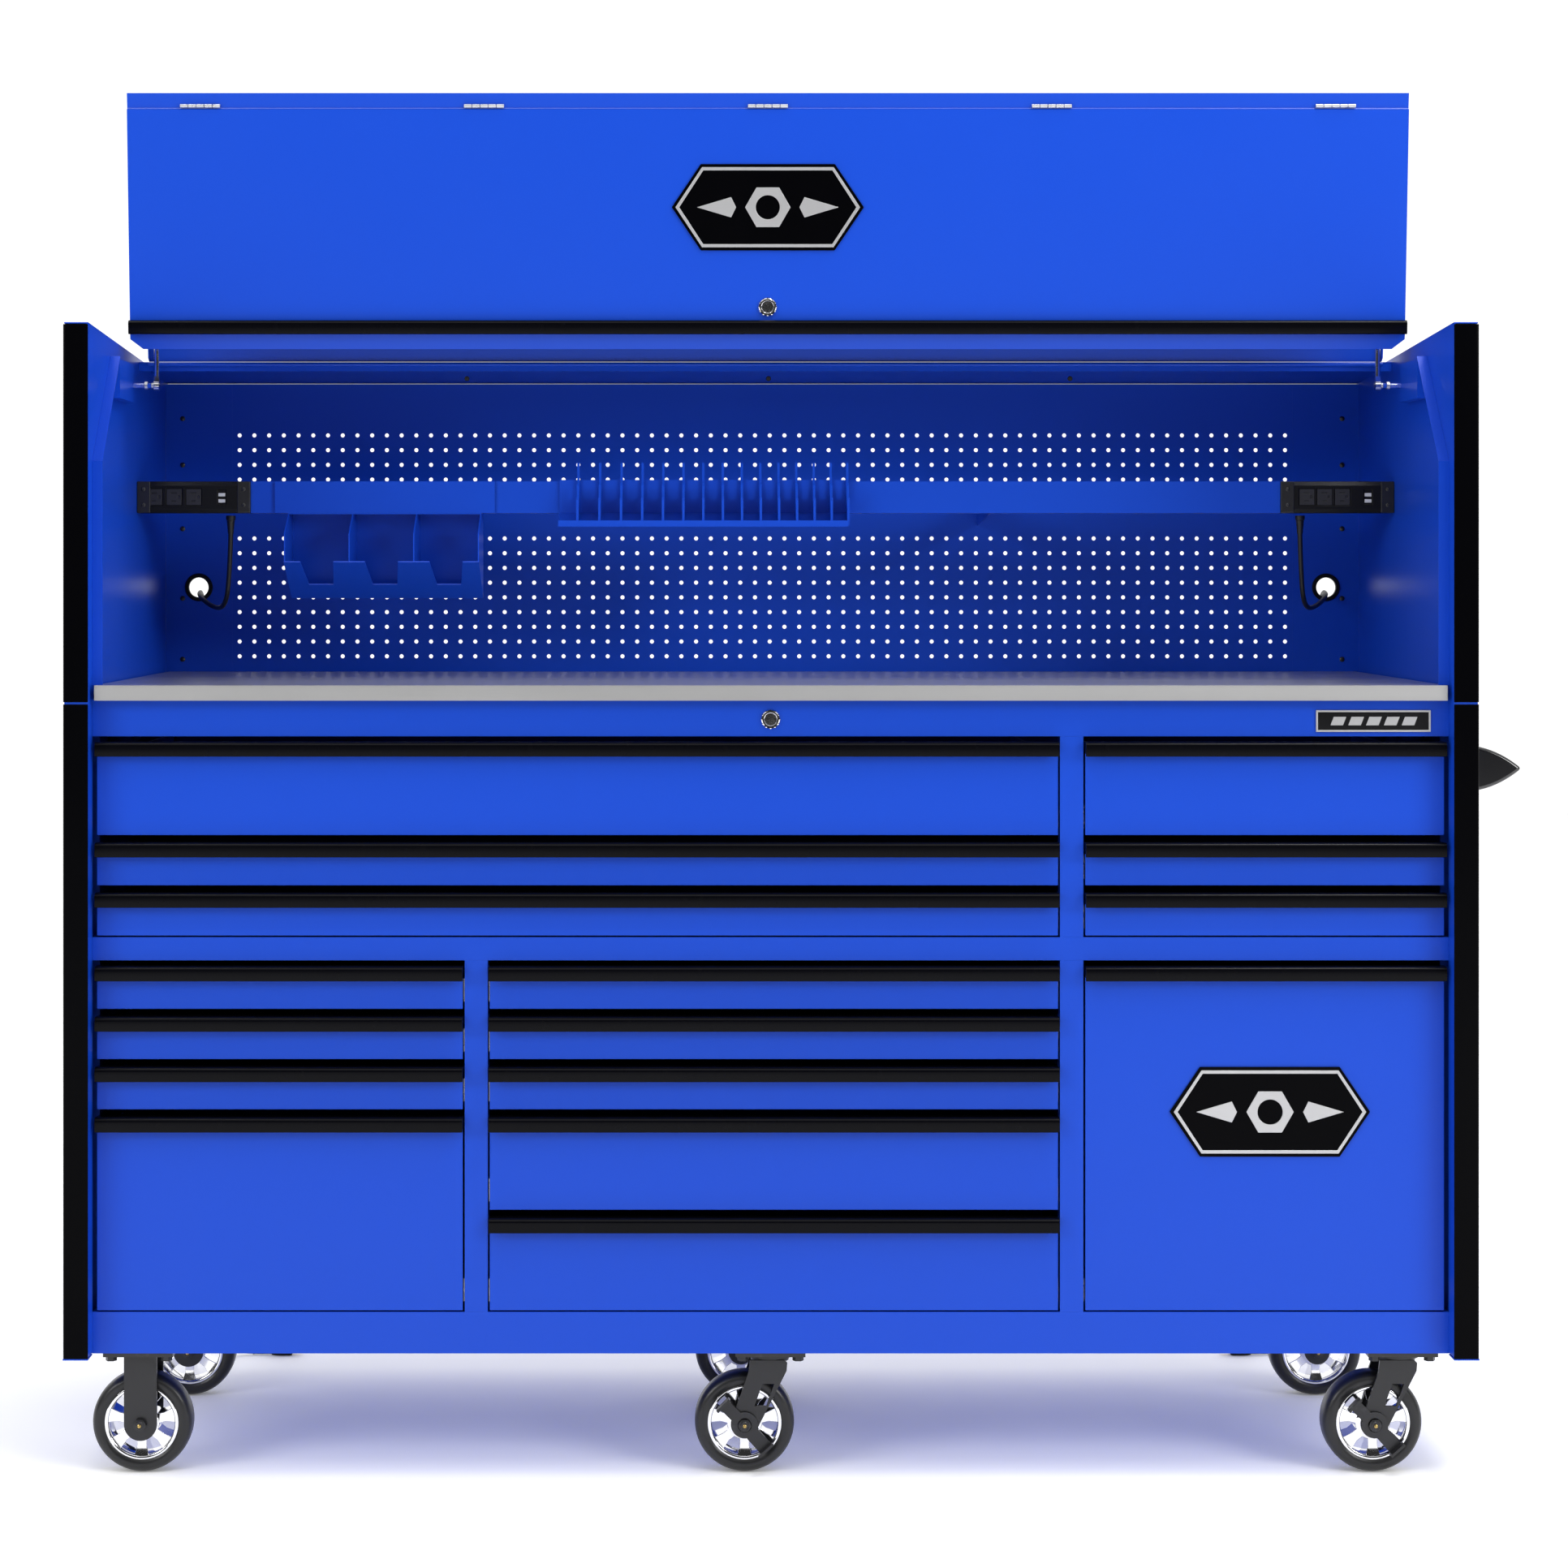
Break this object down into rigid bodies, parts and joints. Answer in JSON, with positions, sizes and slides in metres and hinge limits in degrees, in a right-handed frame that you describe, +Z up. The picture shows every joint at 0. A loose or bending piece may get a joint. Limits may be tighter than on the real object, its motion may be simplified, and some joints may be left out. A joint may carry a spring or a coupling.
{
  "type": "rolling tool chest",
  "caption": "Wide rolling tool chest: drawers with full-width pulls, stainless worktop, pegboard hutch with a bi-fold lid, tool rail, racks, power strips and casters.",
  "frame": {"origin": "Middle of the footprint, side handle included, on the floor under the wheels; the free cords and plugs are left out.", "axes": "+X along the chest towards the side handle, +Y from the drawer fronts to the back, +Z up."},
  "size_m": [2.2296, 0.868, 2.1318],
  "materials": {
    "blue_paint": "glossy powder-coated steel, cobalt blue",
    "black_trim": "satin black anodised extrusion",
    "black_steel": "semi-gloss black coated steel",
    "zinc_steel": "bright zinc-plated steel",
    "stainless": "brushed stainless steel",
    "chrome_parts": "polished chrome plate",
    "strut_black": "satin black tube",
    "black_plastic": "fine-textured black plastic",
    "cord_jacket": "black cord jacket",
    "wheel_tyre": "black elastomer tread on a chromed spoked rim"
  },
  "bodies": {
    "root": {"cabinet_shell": "blue_paint", "face_frame": "blue_paint", "partitions": "blue_paint", "slide_channels": "zinc_steel", "front_posts": "black_trim", "worktop": "stainless", "hutch_shell": "blue_paint", "hutch_posts": "black_trim", "hutch_top": "blue_paint", "pegboard": "blue_paint", "tool_rail": "blue_paint", "bin_rack": "blue_paint", "wrench_rack": "blue_paint", "left_power_strip": "black_plastic", "right_power_strip": "black_plastic", "cord_grommets": "black_plastic", "side_handle": "black_trim", "base_lock_bezel": "chrome_parts", "caster_mounts": "black_steel", "left_cord": "cord_jacket", "right_cord": "cord_jacket", "left_plug": "black_plastic", "right_plug": "black_plastic"},
    "lid_roof": {"lid_roof": "blue_paint", "lid_hinges": "zinc_steel"},
    "lid_panel": {"lid_panel": "blue_paint", "lid_pull": "black_trim", "lid_lock_bezel": "chrome_parts"},
    "lid_lock_plug": {"lid_lock_plug": "chrome_parts"},
    "base_lock_plug": {"base_lock_plug": "chrome_parts"},
    "strut_cylinders": {"strut_cylinders": "strut_black"},
    "strut_rods": {"strut_rods": "chrome_parts"},
    "upper_left_drawer_1": {"upper_left_drawer_1": "blue_paint"},
    "upper_left_drawer_2": {"upper_left_drawer_2": "blue_paint"},
    "upper_left_drawer_3": {"upper_left_drawer_3": "blue_paint"},
    "upper_right_drawer_1": {"upper_right_drawer_1": "blue_paint"},
    "upper_right_drawer_2": {"upper_right_drawer_2": "blue_paint"},
    "upper_right_drawer_3": {"upper_right_drawer_3": "blue_paint"},
    "lower_left_drawer_1": {"lower_left_drawer_1": "blue_paint"},
    "lower_left_drawer_2": {"lower_left_drawer_2": "blue_paint"},
    "lower_left_drawer_3": {"lower_left_drawer_3": "blue_paint"},
    "lower_left_drawer_4": {"lower_left_drawer_4": "blue_paint"},
    "lower_middle_drawer_1": {"lower_middle_drawer_1": "blue_paint"},
    "lower_middle_drawer_2": {"lower_middle_drawer_2": "blue_paint"},
    "lower_middle_drawer_3": {"lower_middle_drawer_3": "blue_paint"},
    "lower_middle_drawer_4": {"lower_middle_drawer_4": "blue_paint"},
    "lower_middle_drawer_5": {"lower_middle_drawer_5": "blue_paint"},
    "lower_right_drawer": {"lower_right_drawer": "blue_paint"},
    "front_centre_fork": {"front_centre_fork": "black_steel"},
    "front_right_fork": {"front_right_fork": "black_steel"},
    "rear_centre_fork": {"rear_centre_fork": "black_steel"},
    "rear_right_fork": {"rear_right_fork": "black_steel"},
    "front_centre_wheel": {"front_centre_wheel": "wheel_tyre"},
    "front_right_wheel": {"front_right_wheel": "wheel_tyre"},
    "rear_centre_wheel": {"rear_centre_wheel": "wheel_tyre"},
    "rear_right_wheel": {"rear_right_wheel": "wheel_tyre"},
    "front_left_wheel": {"front_left_wheel": "wheel_tyre"},
    "rear_left_wheel": {"rear_left_wheel": "wheel_tyre"},
    "front_centre_brake": {"front_centre_brake": "black_steel"},
    "front_right_brake": {"front_right_brake": "black_steel"}
  },
  "joints": [
    {"name": "lid_fold", "type": "hinge", "parent": "root", "child": "lid_roof", "pos_m": [-0.048, 0.074, 1.716], "axis": [1, 0, 0], "range_deg": [0, 78.4], "stiffness_Nm_per_rad": 150, "springref_deg": -19.08},
    {"name": "lid_panel_fold", "type": "hinge", "parent": "lid_roof", "child": "lid_panel", "pos_m": [-0.048, -0.13569, 2.1109], "axis": [1, 0, 0], "range_deg": [-83.42, 0]},
    {"name": "strut_swing", "type": "hinge", "parent": "lid_roof", "child": "strut_cylinders", "pos_m": [-0.048, -0.07952, 2.04201], "axis": [1, 0, 0], "range_deg": [0, 21.61]},
    {"name": "strut_stroke", "type": "slide", "parent": "strut_cylinders", "child": "strut_rods", "axis": [0, -0.0258, 0.9997], "range_m": [0, 0.15873]},
    {"name": "upper_left_drawer_1_slide", "type": "slide", "parent": "root", "child": "upper_left_drawer_1", "axis": [0, -1, 0], "range_m": [0, 0.62]},
    {"name": "upper_left_drawer_2_slide", "type": "slide", "parent": "root", "child": "upper_left_drawer_2", "axis": [0, -1, 0], "range_m": [0, 0.62]},
    {"name": "upper_left_drawer_3_slide", "type": "slide", "parent": "root", "child": "upper_left_drawer_3", "axis": [0, -1, 0], "range_m": [0, 0.62]},
    {"name": "upper_right_drawer_1_slide", "type": "slide", "parent": "root", "child": "upper_right_drawer_1", "axis": [0, -1, 0], "range_m": [0, 0.62]},
    {"name": "upper_right_drawer_2_slide", "type": "slide", "parent": "root", "child": "upper_right_drawer_2", "axis": [0, -1, 0], "range_m": [0, 0.62]},
    {"name": "upper_right_drawer_3_slide", "type": "slide", "parent": "root", "child": "upper_right_drawer_3", "axis": [0, -1, 0], "range_m": [0, 0.62]},
    {"name": "lower_left_drawer_1_slide", "type": "slide", "parent": "root", "child": "lower_left_drawer_1", "axis": [0, -1, 0], "range_m": [0, 0.62]},
    {"name": "lower_left_drawer_2_slide", "type": "slide", "parent": "root", "child": "lower_left_drawer_2", "axis": [0, -1, 0], "range_m": [0, 0.62]},
    {"name": "lower_left_drawer_3_slide", "type": "slide", "parent": "root", "child": "lower_left_drawer_3", "axis": [0, -1, 0], "range_m": [0, 0.62]},
    {"name": "lower_left_drawer_4_slide", "type": "slide", "parent": "root", "child": "lower_left_drawer_4", "axis": [0, -1, 0], "range_m": [0, 0.62]},
    {"name": "lower_middle_drawer_1_slide", "type": "slide", "parent": "root", "child": "lower_middle_drawer_1", "axis": [0, -1, 0], "range_m": [0, 0.62]},
    {"name": "lower_middle_drawer_2_slide", "type": "slide", "parent": "root", "child": "lower_middle_drawer_2", "axis": [0, -1, 0], "range_m": [0, 0.62]},
    {"name": "lower_middle_drawer_3_slide", "type": "slide", "parent": "root", "child": "lower_middle_drawer_3", "axis": [0, -1, 0], "range_m": [0, 0.62]},
    {"name": "lower_middle_drawer_4_slide", "type": "slide", "parent": "root", "child": "lower_middle_drawer_4", "axis": [0, -1, 0], "range_m": [0, 0.62]},
    {"name": "lower_middle_drawer_5_slide", "type": "slide", "parent": "root", "child": "lower_middle_drawer_5", "axis": [0, -1, 0], "range_m": [0, 0.62]},
    {"name": "lower_right_drawer_slide", "type": "slide", "parent": "root", "child": "lower_right_drawer", "axis": [0, -1, 0], "range_m": [0, 0.62]},
    {"name": "front_centre_swivel", "type": "hinge", "parent": "root", "child": "front_centre_fork", "pos_m": [-0.048, -0.286, 0.17], "axis": [0, 0, 1], "continuous": true},
    {"name": "front_right_swivel", "type": "hinge", "parent": "root", "child": "front_right_fork", "pos_m": [0.912, -0.286, 0.17], "axis": [0, 0, 1], "continuous": true},
    {"name": "rear_centre_swivel", "type": "hinge", "parent": "root", "child": "rear_centre_fork", "pos_m": [-0.048, 0.195, 0.17], "axis": [0, 0, 1], "continuous": true},
    {"name": "rear_right_swivel", "type": "hinge", "parent": "root", "child": "rear_right_fork", "pos_m": [0.912, 0.195, 0.17], "axis": [0, 0, 1], "continuous": true},
    {"name": "front_centre_roll", "type": "hinge", "parent": "front_centre_fork", "child": "front_centre_wheel", "pos_m": [-0.087, -0.286, 0.0762], "axis": [0, 1, 0], "continuous": true},
    {"name": "front_right_roll", "type": "hinge", "parent": "front_right_fork", "child": "front_right_wheel", "pos_m": [0.873, -0.286, 0.0762], "axis": [0, 1, 0], "continuous": true},
    {"name": "rear_centre_roll", "type": "hinge", "parent": "rear_centre_fork", "child": "rear_centre_wheel", "pos_m": [-0.087, 0.195, 0.0762], "axis": [0, 1, 0], "continuous": true},
    {"name": "rear_right_roll", "type": "hinge", "parent": "rear_right_fork", "child": "rear_right_wheel", "pos_m": [0.873, 0.195, 0.0762], "axis": [0, 1, 0], "continuous": true},
    {"name": "front_left_roll", "type": "hinge", "parent": "root", "child": "front_left_wheel", "pos_m": [-1.008, -0.286, 0.0762], "axis": [0, 1, 0], "continuous": true},
    {"name": "rear_left_roll", "type": "hinge", "parent": "root", "child": "rear_left_wheel", "pos_m": [-1.008, 0.195, 0.0762], "axis": [0, 1, 0], "continuous": true},
    {"name": "front_centre_brake_rock", "type": "hinge", "parent": "front_centre_fork", "child": "front_centre_brake", "pos_m": [-0.087, -0.286, 0.0762], "axis": [0, 1, 0], "range_deg": [0, 14]},
    {"name": "front_right_brake_rock", "type": "hinge", "parent": "front_right_fork", "child": "front_right_brake", "pos_m": [0.873, -0.286, 0.0762], "axis": [0, 1, 0], "range_deg": [0, 14]},
    {"name": "base_lock_turn", "type": "hinge", "parent": "root", "child": "base_lock_plug", "pos_m": [-0.048, -0.343, 1.1522], "axis": [0, 1, 0], "range_deg": [0, 90]},
    {"name": "lid_lock_turn", "type": "hinge", "parent": "lid_panel", "child": "lid_lock_plug", "pos_m": [-0.048, -0.10815, 1.7961], "axis": [0, 0.9962, 0.0872], "range_deg": [0, 90]}
  ],
  "couplings": [
    {"joint": "lid_panel_fold", "follows": "lid_fold", "ratio": -1.0638},
    {"joint": "strut_swing", "follows": "lid_fold", "ratio": 0.27538},
    {"joint": "strut_stroke", "follows": "lid_fold", "m_per_rad": 0.11599}
  ]
}
